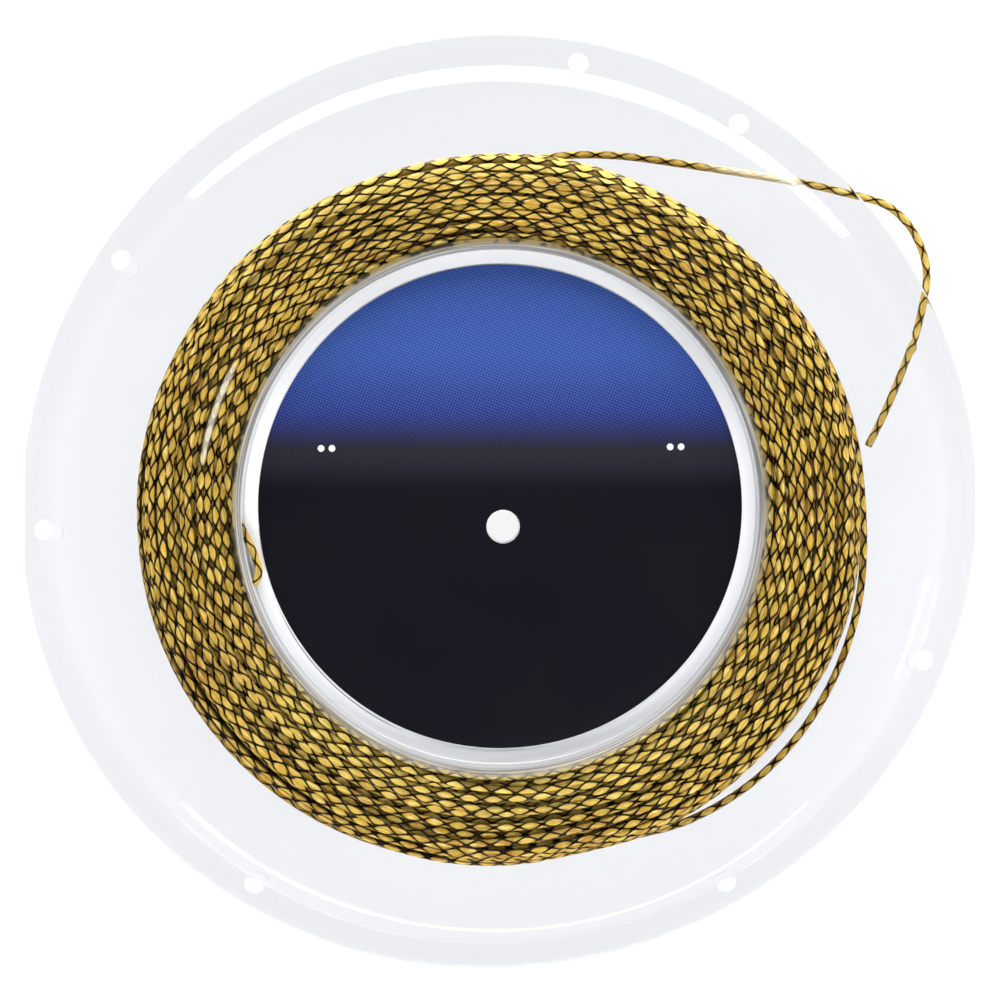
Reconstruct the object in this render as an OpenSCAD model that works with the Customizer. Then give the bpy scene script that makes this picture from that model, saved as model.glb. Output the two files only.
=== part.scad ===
// Reel of racket string. Two moulded halves snap together inside the drum, a printed
// label lies in the front recess, and one length of string is wound on the drum.
// The reel lies on its rear flange with its axis along +Z. Sizes are in millimetres.

/* [Flanges] */
// Outer radius of both flanges
rim_r = 76.9; // [74:0.1:84]
// Wall thickness of the flanges
flange_t = 1.0; // [0.8:0.1:1.4]
// Width of the flat lip at the rim
lip_w = 6.2; // [5.5:0.1:7]
// Width of the sloping bend inside the lip
bend_w = 1.7; // [1.4:0.1:2.4]
// How far the lip is set in from the flange, towards the string
lip_set = 2.5; // [1.5:0.1:4]
// Radius of the holes through the lip that hold the string's free end
rim_hole_r = 1.7; // [1:0.1:1.9]
// Distance from the rim to the centres of those holes
rim_hole_in = 3.7; // [2.6:0.1:3.9]

/* [Drum] */
// Outer radius of the drum that carries the string
drum_r = 43.0; // [41.6:0.1:46]
// Wall thickness of the drum
drum_t = 1.2; // [1:0.1:1.6]
// Clear width between the flanges
string_space = 30.0; // [26:0.5:40]
// Depth of the recess at each end of the drum
recess = 3.0; // [2.6:0.1:5]
// Thickness of the discs that close the drum
disc_t = 1.2; // [1:0.1:2]
// Rounding where the flange turns into the recess
mouth_round = 1.5; // [1:0.1:1.8]
// How far the rear half's spigot reaches into the front half
spigot_len = 6.0; // [5:0.5:8]
// Wall thickness of the spigot
spigot_t = 1.1; // [0.9:0.1:1.5]
// Radial clearance of the spigot in the front half
spigot_gap = 0.1; // [0.05:0.05:0.2]
// Height of the snap bead on the spigot
bead_h = 0.4; // [0.2:0.05:0.5]
// Radius of the spindle hole through both discs
spindle_r = 2.6; // [2:0.1:4]
// Distance of the spindle hole to the right of the drum's centre
spindle_x = 0.5; // [-3:0.1:3]
// Distance of the spindle hole below the drum's centre
spindle_drop = 3.3; // [0:0.1:5]

/* [Label] */
// Width of the bare ring between the label and the recess's wall
label_ring = 2.6; // [2.4:0.1:12]
// Thickness of the label
label_t = 0.15; // [0.1:0.05:0.3]
// Clearance of the label round the spindle hole
label_gap = 0.1; // [0:0.05:1]

/* [String] */
// Diameter of the string
string_d = 1.27; // [1.1:0.01:1.27]
// Depth of the string wound on the drum
wound_depth = 15.3; // [14.6:0.1:17]
// Half turns of string on the front and the outside of the winding
half_turns = 45; // [39:2:45]
// Rounding of the winding's front edge
wound_round = 3.0; // [2.5:0.1:5]
// How far the slack last turn stands off the winding
slack = 2.5; // [0:0.1:3]

/* [Hidden] */

body_fn = 180;          // facets of the large round forms
hole_fn = 48;           // facets of the holes
corner_steps = 5;       // straight steps in a rounded corner
rings_per_turn = 24;    // rings of the wound tube in one turn
wound_sides = 6;        // sides of the wound tube
cord_sides = 8;         // sides of the free ends
fit = 0.3;              // clearance between the string and what it lies on
cut = 1;                // how far a cutting tool runs past a face

reel_w = string_space + 2 * flange_t;
drum_in = drum_r - drum_t;
label_r = drum_in - label_ring;
bend_r = rim_r - lip_w - bend_w;
lip_r = rim_r - lip_w;
seat_z = reel_w / 2;

spigot_out = drum_in - spigot_gap;
spigot_in = spigot_out - spigot_t;
spigot_root = seat_z - 2.5;
spigot_top = seat_z + spigot_len;
bead_z = spigot_top - 2.2;
bead_w = 0.8;

edge_round = 0.3;       // rounding of the rim and the spigot
bend_round = 1.0;       // rounding of the bend's outer corners
foot_round = 0.4;       // rounding at the foot of the drum

// Directions of the holes in the lip, in degrees from +X
rim_hole_angles = [58, 80, 147, 183, 237, 301, 340];

string_r = string_d / 2;
face_z = reel_w - flange_t - fit - string_r;
low_z = flange_t + fit + string_r;
chord = cos(180 / rings_per_turn);                 // a ring's radius, over its chord's middle
first_r = (drum_r + 0.2 + string_r) / chord;
wound_r = drum_r + wound_depth;
outer_r = wound_r - string_r;
turn_gap = 0.46;                                   // gap under the last turn
last_r = outer_r + string_d + turn_gap;

// Directions at which the wound string starts, slackens, lies down again and ends
start_angle = 170;
slack_sweep = 50;
seated_sweep = 213;
slack_steps = 8;
seated_steps = 14;
wound_sweep = half_turns * 180;
slack_angle = start_angle - wound_sweep;
end_angle = slack_angle - slack_sweep - seated_sweep;

// Holes through the drum wall where the string's start is laced: direction from the
// drum's centre, and the hole's own direction from there
lace_in = [197.8, 16];
lace_out = [182.7, -71];
lace_hole_r = string_r + 0.25;
lace_reach = 4.5;

// Laced start of the string: direction in degrees, and distance outside the drum
lace_route = [[198.3, 0.7], [197.8, -0.6], [197.2, -1.6], [195.8, -2.4], [194, -2.7],
              [192.3, -2.6], [190, -2.3], [188, -1.9], [185.8, -1.3], [182.7, -0.5],
              [179.8, 0.3], [177.3, 0.75], [174.8, 1.1]];

// Free end of the string, after it leaves the winding
tail_route = [[8, 59.1, 2], [13, 59.1, 2.2], [18, 59, 2.6], [23, 58.5, 3], [28, 57.8, 3.4],
              [33, 56.9, 3.8], [38, 56, 4.2], [43, 55, 4.4], [48, 54.2, 4.4], [53, 53.2, 4.4],
              [57, 52.2, 4.4], [61, 51.2, 4.4], [64, 50.1, 4.4], [66.3, 48.3, 4.3],
              [68.2, 46, 4.2], [69.6, 43.2, 4.2], [70.4, 40.4, 4.2], [70.5, 37.6, 4.3],
              [70.1, 34.8, 4.4], [69.4, 31.4, 4.4], [68.4, 27.8, 4.4], [67, 24, 4.3],
              [65.2, 19.6, 3.8], [63.2, 15, 2.9], [60.9, 10.4, 2.2]];

function unit(v) = v / norm(v);
function polar(r, a) = [r * cos(a), r * sin(a)];
function clockwise(a) = [sin(a), -cos(a)];

// Points that round the corner b between a and c with an arc of the given radius
function corner(a, b, c, radius) =
    let (
        u = unit(a - b),
        w = unit(c - b),
        half = acos(u * w) / 2,
        centre = b + unit(u + w) * radius / sin(half),
        from = b + u * radius / tan(half) - centre,
        to = b + w * radius / tan(half) - centre,
        side = sign(from.x * to.y - from.y * to.x),
        first = atan2(from.y, from.x),
        sweep = side * (180 - 2 * half)
    )
    [for (i = [0:corner_steps]) centre + polar(radius, first + sweep * i / corner_steps)];

// Outline through corners given as [radius, height, rounding]
function outline(path) =
    let (n = len(path), flat = [for (p = path) [p.x, p.y]])
    [for (i = [0:n - 1])
        each path[i].z == 0 ? [flat[i]]
            : corner(flat[(i + n - 1) % n], flat[i], flat[(i + 1) % n], path[i].z)];

// Flange, recess and lip of one half, from the centre of its disc out to the foot of
// the drum. Height 0 is the flange's outer face.
flange_path = [
    [0, recess, 0],
    [drum_in, recess, 0],
    [drum_in, 0, mouth_round],
    [bend_r, 0, bend_round],
    [lip_r, lip_set, bend_round],
    [rim_r, lip_set, edge_round],
    [rim_r, lip_set + flange_t, edge_round],
    [lip_r - flange_t / 2, lip_set + flange_t, edge_round],
    [bend_r - flange_t / 2, flange_t, edge_round],
    [drum_r, flange_t, foot_round],
];

// Inside of the drum, back to the centre of the disc
disc_path = [
    [drum_in, recess + disc_t, foot_round],
    [0, recess + disc_t, 0],
];

rear_path = concat(flange_path, [
    [drum_r, seat_z, 0],
    [spigot_out, seat_z, 0],
    [spigot_out, bead_z - bead_w, 0],
    [spigot_out + bead_h, bead_z, 0],
    [spigot_out, bead_z + bead_w, 0],
    [spigot_out, spigot_top, edge_round],
    [spigot_in, spigot_top, edge_round],
    [spigot_in, spigot_root, 0],
    [drum_in, spigot_root - drum_in + spigot_in, 0],
], disc_path);

front_path = concat(flange_path, [
    [drum_r, seat_z, 0],
    [drum_in, seat_z, 0],
    [drum_in, reel_w - bead_z + bead_w, 0],
    [drum_in + bead_h, reel_w - bead_z, 0],
    [drum_in, reel_w - bead_z - bead_w, 0],
], disc_path);

module revolve(path) {
    rotate_extrude($fn = body_fn) polygon(outline(path));
}

module spindle_hole(radius) {
    translate([spindle_x, -spindle_drop, -cut])
        cylinder(r = radius, h = reel_w + 2 * cut, $fn = hole_fn);
}

module rim_holes() {
    for (a = rim_hole_angles)
        rotate(a) translate([rim_r - rim_hole_in, 0, -cut])
            cylinder(r = rim_hole_r, h = reel_w + 2 * cut, $fn = hole_fn);
}

// Slanted hole through the drum wall for the start of the string
module lace_hole(place) {
    rotate(place.x) translate([drum_r - drum_t / 2, 0, face_z]) rotate(place.y)
        rotate([0, 90, 0]) cylinder(r = lace_hole_r, h = 2 * lace_reach, center = true, $fn = hole_fn);
}

module rear_half() {
    color([0.92, 0.93, 0.95, 0.6]) difference() {
        revolve(rear_path);
        spindle_hole(spindle_r);
        rim_holes();
    }
}

module front_half() {
    color([0.92, 0.93, 0.95, 0.6]) difference() {
        translate([0, 0, reel_w]) mirror([0, 0, 1]) revolve(front_path);
        spindle_hole(spindle_r);
        rim_holes();
        lace_hole(lace_in);
        lace_hole(lace_out);
    }
}

module front_label() {
    color("midnightblue") difference() {
        translate([0, 0, reel_w - recess]) cylinder(r = label_r, h = label_t, $fn = body_fn);
        spindle_hole(spindle_r + label_gap);
    }
}

// Inner layers of the string. Its radius clears the middles of the outer turns' chords.
core_r = outer_r * chord - string_r - 0.15;
core_round = wound_round - string_r - fit;

module string_core() {
    color("goldenrod") revolve([
        [drum_r + fit, flange_t + fit, 0],
        [core_r, flange_t + fit, 0],
        [core_r, face_z - string_r - fit, core_round],
        [drum_r + fit, face_z - string_r - fit, 0],
    ]);
}

// Place on the winding's section at distance m from the drum: out along the front
// face, round the front edge and down the outside
face_len = outer_r - wound_round - first_r;
edge_len = wound_round * PI / 2;
side_len = face_z - wound_round - low_z;
section_len = face_len + edge_len + side_len;

function section(m) =
    m < face_len ? [first_r + m, face_z]
    : m < face_len + edge_len
        ? let (turned = (m - face_len) / wound_round * 180 / PI)
          [outer_r - wound_round + wound_round * sin(turned),
           face_z - wound_round + wound_round * cos(turned)]
    : [outer_r, face_z - wound_round - (m - face_len - edge_len)];

function on_winding(a, place) = [each polar(place.x, a), place.y];

// One unbroken path: the wound turns, the slack stretch and the seated last turn,
// with a straight piece one diameter long at each end
wound_rings = wound_sweep * rings_per_turn / 360;
wound_path = [for (i = [0:wound_rings])
    on_winding(start_angle - i * 360 / rings_per_turn, section(section_len * i / wound_rings))];
slack_path = [for (i = [1:slack_steps])
    let (u = i / slack_steps)
    on_winding(slack_angle - slack_sweep * u,
               [outer_r + (last_r - outer_r) * min(1, 2 * u) + slack * pow(sin(180 * u), 2), low_z])];
seated_path = [for (i = [1:seated_steps])
    on_winding(slack_angle - slack_sweep - seated_sweep * i / seated_steps, [last_r, low_z])];
winding_start = wound_path[0] - string_d * [each clockwise(start_angle), 0];
winding_end = seated_path[seated_steps - 1] + string_d * [each clockwise(end_angle), 0];
winding_path = concat([winding_start], wound_path, slack_path, seated_path, [winding_end]);

// Least gap between one turn and the next two, measured on the path's points
function least_gap(path) =
    let (half = rings_per_turn / 2, n = len(path))
    min([for (i = [0:n - 1 - half])
        for (j = [i + half:min(n - 1, i + 5 * half)]) norm(path[i] - path[j])]) - string_d;

function length_of(path) = len(path) < 2 ? 0
    : [for (i = 1, sum = norm(path[1] - path[0]); i < len(path);
            i = i + 1, sum = sum + (i < len(path) ? norm(path[i] - path[i - 1]) : 0)) sum][len(path) - 2];

// A smooth curve through points p, with one more point between each two
function smooth(p) =
    let (n = len(p))
    [for (i = [0:n - 2])
        let (before = p[max(i - 1, 0)], after = p[min(i + 2, n - 1)])
        each [p[i], (9 * (p[i] + p[i + 1]) - before - after) / 16],
     p[n - 1]];

// Tube along a path. Its rings stand square to the path, and its faces are triangles.
module tube(path, sides) {
    n = len(path);
    ahead = [for (i = [0:n - 1]) unit(path[min(i + 1, n - 1)] - path[max(i - 1, 0)])];
    rings = [for (i = [0:n - 1])
        let (across = unit(cross(ahead[i], [0, 0, 1])), up = cross(across, ahead[i]))
        for (k = [0:sides - 1])
            path[i] + string_r * (across * cos(360 * k / sides) + up * sin(360 * k / sides))];
    walls = [for (i = [0:n - 2]) for (k = [0:sides - 1])
        let (a = i * sides + k, b = i * sides + (k + 1) % sides)
        each [[a, b, b + sides], [a, b + sides, a + sides]]];
    caps = [for (k = [1:sides - 2])
        each [[0, k + 1, k], [(n - 1) * sides, (n - 1) * sides + k, (n - 1) * sides + k + 1]]];
    polyhedron(rings, concat(walls, caps));
}

module string_winding() {
    color("goldenrod") tube(winding_path, wound_sides);
}

// The free ends meet the winding's two ends with a straight piece one diameter long
start_lead = winding_start - string_d * [each clockwise(start_angle), 0];
tail_lead = winding_end + string_d * [each clockwise(end_angle), 0];
lace_points = [for (p = lace_route) [each polar(drum_r + p.y, p.x), face_z]];
start_path = concat(smooth(concat(lace_points, [start_lead])), [winding_start]);
tail_path = concat([winding_end], smooth(concat([tail_lead], tail_route)));

module string_start() {
    color("gold") tube(start_path, cord_sides);
}

module string_tail() {
    color("gold") tube(tail_path, cord_sides);
}

rear_half();
front_half();
front_label();
string_core();
string_winding();
string_start();
string_tail();
union() {
    echo(least_gap_in_winding = least_gap(winding_path));
    echo(wound_turns = (wound_sweep + slack_sweep + seated_sweep) / 360);
    echo(tail_length = length_of(tail_path), start_length = length_of(start_path));
}
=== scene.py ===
"""String reel: the looks of a translucent reel full of racket string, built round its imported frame.

Every piece is a surface worked out with numpy in millimetres and put into its mesh in metres,
in the frame's own axes: +Z along the reel's axis, the labelled front up, the rear flange on z = 0.
"""

import math

import bmesh
import bpy
import numpy as np
from bpy.props import FloatProperty, FloatVectorProperty, IntProperty, PointerProperty
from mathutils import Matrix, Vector


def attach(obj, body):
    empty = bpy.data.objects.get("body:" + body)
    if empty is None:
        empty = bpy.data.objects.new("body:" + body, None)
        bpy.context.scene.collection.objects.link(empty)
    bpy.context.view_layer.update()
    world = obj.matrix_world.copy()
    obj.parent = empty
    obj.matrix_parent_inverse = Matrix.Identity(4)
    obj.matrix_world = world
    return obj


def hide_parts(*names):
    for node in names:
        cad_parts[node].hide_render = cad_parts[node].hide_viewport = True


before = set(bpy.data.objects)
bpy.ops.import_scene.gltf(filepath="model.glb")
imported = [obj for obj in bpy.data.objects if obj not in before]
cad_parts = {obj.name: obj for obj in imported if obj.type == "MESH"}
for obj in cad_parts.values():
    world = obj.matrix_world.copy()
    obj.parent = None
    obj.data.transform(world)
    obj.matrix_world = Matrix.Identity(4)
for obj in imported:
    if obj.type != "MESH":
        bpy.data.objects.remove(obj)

bl_info = {
    "name": "String Reel",
    "version": (1, 0, 0),
    "blender": (4, 5, 0),
    "location": "3D View > Sidebar > Reel",
    "description": "Builds a reel of racket string piece by piece",
    "category": "Add Mesh",
}

MM = 0.001
BODY = "root"
TURN = 2 * math.pi
UP = np.array([0.0, 0.0, 1.0])

# Sizes that the pieces share with the frame, in millimetres
RIM_R, FLANGE_T, LIP_W, BEND_W, LIP_SET = 76.9, 1.0, 6.2, 1.7, 2.5
DRUM_R, DRUM_T, RECESS, DISC_T, MOUTH_ROUND = 43.0, 1.2, 3.0, 1.2, 1.5
REEL_W, SEAT_Z = 32.0, 16.0
SPIGOT_OUT, SPIGOT_IN, SPIGOT_TOP, SPIGOT_ROOT = 41.7, 40.6, 22.0, 13.5
BEAD_Z, BEAD_W, BEAD_H = 19.8, 0.8, 0.4
RIM_HOLE_R, RIM_HOLE_AT, SPINDLE_R = 1.7, 73.2, 2.6
RIM_HOLE_ANGLES = (58, 80, 147, 183, 237, 301, 340)
SPINDLE_X, SPINDLE_Y = 0.5, -3.3
LABEL_R, LABEL_T, LABEL_GAP = 39.2, 0.15, 0.1
STRING_D, STRING_R = 1.27, 0.635
FACE_Z, LOW_Z, OUTER_R, WOUND_ROUND = 30.065, 1.935, 57.665, 3.0
START_ANGLE, SLACK_ANGLE, END_ANGLE = 170.0, 350.0, 87.0
LACE_IN, LACE_OUT = (197.8, 16.0), (182.7, -71.0)
LACE_HOLE_R, LACE_REACH = 0.885, 4.5

# The centre of the arc round the winding's front edge, and the inside of the drum
EDGE_R, EDGE_Z, DRUM_IN = OUTER_R - WOUND_ROUND, FACE_Z - WOUND_ROUND, DRUM_R - DRUM_T

# Sizes of the looks alone, in millimetres
LAST_R = 57.95  # where the last turn becomes the free end
SNUG = 1.25  # from turn to turn beside the hub
SPINDLE_SHIFT = 0.4  # the rear half's hole lies higher, so that it shows through the front one
HEART_IN, HEART_OUT, HEART_LOW, HEART_HIGH = 44.9, 56.2, 2.8, 28.0
AIM_Y = 0.95  # the picture's middle
# Radii of what shows at the hub: the painted shadow line beside the label, the lip, the wall's foot and the
# mouth
LABEL_SHADOW_AT, LIP_AT, FOOT_AT, MOUTH_AT = 39.32, 41.3, 42.1, 42.65

# The laced start: direction in degrees and distance outside the drum
LACE_ROUTE = (
    (198.3, 0.7), (197.8, -0.6), (197.2, -1.6), (195.8, -2.4), (194, -2.7), (192.3, -2.6), (190, -2.3),
    (188, -1.9), (185.8, -1.3), (182.7, -0.5), (179.8, 0.3), (177.3, 0.75), (174.8, 1.1),
)
# The slack last turn: direction in degrees, counted on past 360, and radius
SLACK_ROUTE = (
    (87, LAST_R), (90, LAST_R), (95, 57.95), (100, 58.0), (108, 58.1), (120, 58.45), (135, 58.9),
    (150, 58.95), (165, 59.35), (180, 59.4), (195, 59.7), (210, 59.7), (225, 59.6), (240, 59.2),
    (255, 58.5), (270, 57.9), (280, 57.5), (288, 57.75), (294, 58.7), (301, 60.2), (314, 61.65),
    (329, 62.0), (345, 61.35), (360, 60.0), (375, 59.75), (390, 59.3), (405, 58.7), (420, 58.2),
    (434, 57.9), (458, 57.9), (470, 57.9),
)
# The free end, from where it leaves the winding
TAIL_ROUTE = (
    (8, 58.25, 2), (13, 58.65, 2.2), (18, 58.55, 2.6), (23, 58.1, 3), (28, 57.35, 3.4), (33, 56.6, 3.8),
    (38, 55.8, 4.2), (43, 55, 4.4), (48, 54.2, 4.4), (53, 53.2, 4.4), (57, 52.2, 4.4), (61, 51.2, 4.4),
    (64, 50.1, 4.4), (66.3, 48.3, 4.3), (68.2, 46, 4.2), (69.6, 43.2, 4.2), (70.4, 40.4, 4.2),
    (70.5, 37.6, 4.3), (70.1, 34.8, 4.4), (69.4, 31.4, 4.4), (68.4, 27.8, 4.4), (67, 24, 4.3),
    (65.2, 19.6, 3.8), (63.2, 15, 2.9), (60.9, 10.4, 2.2),
)
# Where the winding bulges or is dented: direction, width in degrees and height
BULGES = ((315, 30.0, 0.4), (342, 16.0, 0.8), (283, 9.0, -0.55))
# A quad's corners on a grid: steps in row and column
CORNERS = ((0, 0), (0, 1), (1, 1), (1, 0))


# ---------------------------------------------------------------- settings


class ReelSettings(bpy.types.PropertyGroup):
    """Sizes and finish of the reel's two halves"""

    rim_r: FloatProperty(name="Rim radius", description="Outer radius of both flanges",
                         default=RIM_R * MM, unit="LENGTH")
    unevenness: FloatProperty(name="Unevenness", description="How far the thin rims stray from a true circle",
                              default=1.0, min=0.0, max=1.0, subtype="FACTOR")
    segments: IntProperty(name="Segments", description="Steps round each half", default=288, min=96, max=360)
    plastic: FloatVectorProperty(name="Front plastic", description="Tint of the front half's clear plastic",
                                 default=(0.868, 0.877, 0.902), subtype="COLOR", min=0, max=1)
    rear_plastic: FloatVectorProperty(name="Rear plastic",
                                      description="Tint of the rear half's clear plastic",
                                      default=(0.985, 0.987, 0.992), subtype="COLOR", min=0, max=1)
    milk: FloatVectorProperty(name="Milky plastic", description="Colour of the plastic where it is thick",
                              default=(0.90, 0.91, 0.93), subtype="COLOR", min=0, max=1)
    gloss: FloatProperty(name="Roughness", description="Roughness of the plastic's polished faces",
                         default=0.06, min=0.0, max=1.0, subtype="FACTOR")


class StringSettings(bpy.types.PropertyGroup):
    """Sizes and colours of the string"""

    diameter: FloatProperty(name="Diameter", description="Diameter of the string",
                            default=STRING_D * MM, unit="LENGTH")
    turns: FloatProperty(name="Turns", description="Turns that show on the front and the outside",
                         default=30.5, min=5)
    tracer_pitch: FloatProperty(name="Tracer pitch", description="Length in which a tracer goes once round",
                                default=7.8 * MM, unit="LENGTH")
    amber: FloatVectorProperty(name="Amber", description="Main colour of the string",
                               default=(0.445, 0.277, 0.035), subtype="COLOR", min=0, max=1)
    pale: FloatVectorProperty(name="Pale amber", description="Lighter colour of the string",
                              default=(0.64, 0.51, 0.165), subtype="COLOR", min=0, max=1)
    brown: FloatVectorProperty(name="Brown amber", description="Deeper colour of the string",
                               default=(0.29, 0.15, 0.018), subtype="COLOR", min=0, max=1)
    # painted shade: its colour beside the tracers and between the turns
    margin: FloatVectorProperty(name="Margin", description="Colour beside the tracers and between the turns",
                                default=(0.026, 0.014, 0.002), subtype="COLOR", min=0, max=1)
    tracer: FloatVectorProperty(name="Tracer", description="Colour of the dark tracers",
                                default=(0.004, 0.0015, 0.0002), subtype="COLOR", min=0, max=1)


class LabelSettings(bpy.types.PropertyGroup):
    """Size and colours of the printed label"""

    radius: FloatProperty(name="Radius", description="Outer radius of the label",
                          default=LABEL_R * MM, unit="LENGTH")
    blue: FloatVectorProperty(name="Blue", description="Colour of the print at the top",
                              default=(0.044, 0.097, 0.365), subtype="COLOR", min=0, max=1)
    night: FloatVectorProperty(name="Night blue", description="Colour of the print below",
                               default=(0.0042, 0.0039, 0.0072), subtype="COLOR", min=0, max=1)


class StageSettings(bpy.types.PropertyGroup):
    """Camera placement"""

    distance: FloatProperty(name="Camera distance", description="From the camera to the reel's front",
                            default=1.2, unit="LENGTH")
    tilt: FloatProperty(name="Camera tilt", description="How far the camera leans from straight above",
                        default=math.radians(1.0), subtype="ANGLE")
    width: FloatProperty(name="Field width", description="Width that the picture covers at the front",
                         default=0.1615, unit="LENGTH")


def in_mm(length):
    """A length from the settings in millimetres, free of the rounding of its storage."""
    return round(length / MM, 4)


# ---------------------------------------------------------------- curves


def unit(v):
    """Vectors over their own length, row by row."""
    return v / np.linalg.norm(v, axis=-1, keepdims=True)


def polar(radius, degrees):
    """x = r cos a and y = r sin a, as an array with x and y last."""
    a = np.radians(degrees)
    return np.stack([radius * np.cos(a), radius * np.sin(a)], -1)


def on_circle(radius, degrees, height):
    """Points at a radius, a direction and a height."""
    radius, degrees, height = np.broadcast_arrays(radius, degrees, height)
    return np.concatenate([polar(radius, degrees), height[..., None].astype(float)], -1)


def around(points):
    """Distance from the axis, and direction from 0 to 360 degrees, of each point."""
    x, y = points[:, 0], points[:, 1]
    return np.hypot(x, y), np.degrees(np.arctan2(y, x)) % 360


def clockwise(degrees):
    """The level direction that runs clockwise at a direction, seen from the front."""
    a = math.radians(degrees)
    return np.array([math.sin(a), -math.cos(a), 0.0])


def ease(x):
    """0 below 0, 1 above 1 and 3x^2 - 2x^3 between."""
    x = np.clip(x, 0.0, 1.0)
    return x * x * (3 - 2 * x)


def hump(x, middle, width, power=2):
    """exp(-((x - middle) / width)^power), which is 1 at the middle and 0 far from it."""
    return np.exp(-(((x - middle) / width) ** power))


def halved(points, times=1):
    """The points with one more between each two, on the four-point rule (9(b + c) - a - d) / 16."""
    p = np.asarray(points, float)
    for _ in range(times):
        before, after = np.vstack([p[:1], p[:-2]]), np.vstack([p[2:], p[-1:]])
        finer = np.empty((2 * len(p) - 1, p.shape[1]))
        finer[0::2], finer[1::2] = p, (9 * (p[:-1] + p[1:]) - before - after) / 16
        p = finer
    return p


def travel(points):
    """Length from the first point to each point."""
    return np.concatenate([[0.0], np.cumsum(np.linalg.norm(np.diff(points, axis=0), axis=1))])


def rounded(corners, steps=12):
    """Outline through corners given as (radius, height, rounding), each corner an arc of steps.

    With u and w the directions to the two neighbours and h half the angle between them, the arc's
    centre lies at r / sin h along u + w, and the arc runs between the points r / tan h along u and w.
    """
    c = np.asarray(corners, float)
    p, r = c[:, :2], c[:, 2:]
    u, w = unit(np.roll(p, 1, 0) - p), unit(np.roll(p, -1, 0) - p)
    half = np.arccos(np.clip((u * w).sum(1, keepdims=True), -1, 1)) / 2
    middle = p + unit(u + w) * r / np.sin(half)
    first, last = p + u * r / np.tan(half) - middle, p + w * r / np.tan(half) - middle
    start = np.arctan2(first[:, 1], first[:, 0])
    turn = np.sign(first[:, 0] * last[:, 1] - first[:, 1] * last[:, 0]) * (math.pi - 2 * half[:, 0])
    a = start[:, None] + turn[:, None] * np.linspace(0, 1, steps)
    arcs = middle[:, None] + r[:, None] * np.stack([np.cos(a), np.sin(a)], -1)
    arcs = np.where(r[:, None] > 0, arcs, p[:, None]).reshape(-1, 2)
    return arcs[np.concatenate([[True], np.linalg.norm(np.diff(arcs, axis=0), axis=1) > 1e-6])]


def closer(points, step):
    """The polyline with more points on its straight stretches, none further apart than step."""
    s = travel(points)
    every = np.unique(np.round(np.concatenate([s, np.arange(0, s[-1], step)]), 6))
    every = every[np.concatenate([[True], np.diff(every) > 1e-3])]
    return np.stack([np.interp(every, s, points[:, k]) for k in range(points.shape[1])], -1)


# ---------------------------------------------------------------- meshes


def new_piece(name, points, faces, slot, uv=None):
    """A piece from points in millimetres. uv holds one pair for each corner of each face."""
    mesh = bpy.data.meshes.new(name)
    mesh.from_pydata(np.asarray(points) * MM, [], faces)
    if uv is not None:
        mesh.uv_layers.new(name="along").data.foreach_set("uv", np.asarray(uv, np.float32).ravel())
    mesh.update()
    piece = bpy.data.objects.new(name, mesh)
    bpy.context.scene.collection.objects.link(piece)
    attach(piece, BODY)
    return piece


def smooth_faces(piece, degrees):
    """Shades the faces smooth, with edges sharper than the angle kept sharp."""
    mesh = piece.data
    mesh.polygons.foreach_set("use_smooth", np.ones(len(mesh.polygons), bool))
    mesh.set_sharp_from_angle(angle=math.radians(degrees))
    mesh.update()


def close_up(piece):
    """Merges what meets, drops what has no area and turns all faces outwards."""
    bm = bmesh.new()
    bm.from_mesh(piece.data)
    bmesh.ops.remove_doubles(bm, verts=bm.verts, dist=1e-7)
    bmesh.ops.dissolve_degenerate(bm, edges=bm.edges, dist=1e-8)
    bmesh.ops.recalc_face_normals(bm, faces=bm.faces)
    bm.to_mesh(piece.data)
    bm.free()
    piece.data.update()


def read_rows(items, name):
    """A vector of each vertex or face, row by row."""
    values = np.empty(len(items) * 3)
    items.foreach_get(name, values)
    return values.reshape(-1, 3)


def paint_faces(mesh, finishes, second):
    """Gives a mesh two finishes: the second where the mask is true, the first elsewhere."""
    mesh.materials.clear()
    for finish in finishes:
        mesh.materials.append(finish)
    mesh.polygons.foreach_set("material_index", second.astype(np.int32))


def revolved(profile, segments):
    """Points and quads of a profile of (radius, height) carried round the axis.

    The point at angle a is (r cos a, r sin a, z). Points are numbered n to a step of a, and the face
    at (i, j) joins points i n + j, i n + j + 1, (i + 1) n + j + 1 and (i + 1) n + j.
    """
    a = np.arange(segments)[:, None] * 360 / segments
    points = on_circle(profile[:, 0], a, profile[:, 1])
    n = len(profile)
    i, j = np.indices((segments, n - 1))
    faces = np.stack([(i + di) % segments * n + j + dj for di, dj in CORNERS], -1)
    return points.reshape(-1, 3), faces.reshape(-1, 4).tolist()


def tube(path, radius, sides, twist):
    """Points, faces, corner pairs and normals of a tube along a path, closed at both ends.

    Point k of ring i is p + r (s cos a + u sin a) with a = 2 pi k / n, where s is level and square
    to the path and u is square to both. A corner's pair is (part of a turn round the tube plus the
    twist there, millimetres along the path).
    """
    t = unit(np.vstack([path[1:], path[-1:]]) - np.vstack([path[:1], path[:-1]]))
    s = unit(np.cross(t, UP))
    u = np.cross(s, t)
    a = TURN * np.arange(sides)[:, None] / sides
    normals = s[:, None] * np.cos(a) + u[:, None] * np.sin(a)
    rings = path[:, None] + radius * normals
    along = travel(path)
    i, k = np.indices((len(path) - 1, sides))
    walls = np.stack([(i + di) * sides + (k + dk) % sides for di, dk in CORNERS], -1)
    pairs = np.stack([np.stack([(k + dk) / sides + twist[i + di], along[i + di]], -1)
                      for di, dk in CORNERS], 2)
    last = (len(path) - 1) * sides
    faces = walls.reshape(-1, 4).tolist() + [list(range(sides))[::-1], list(range(last, last + sides))]
    ends = np.repeat([[0.0, 0.0], [0.0, along[-1]]], sides, axis=0)
    return rings.reshape(-1, 3), faces, np.vstack([pairs.reshape(-1, 2), ends]), normals


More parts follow.
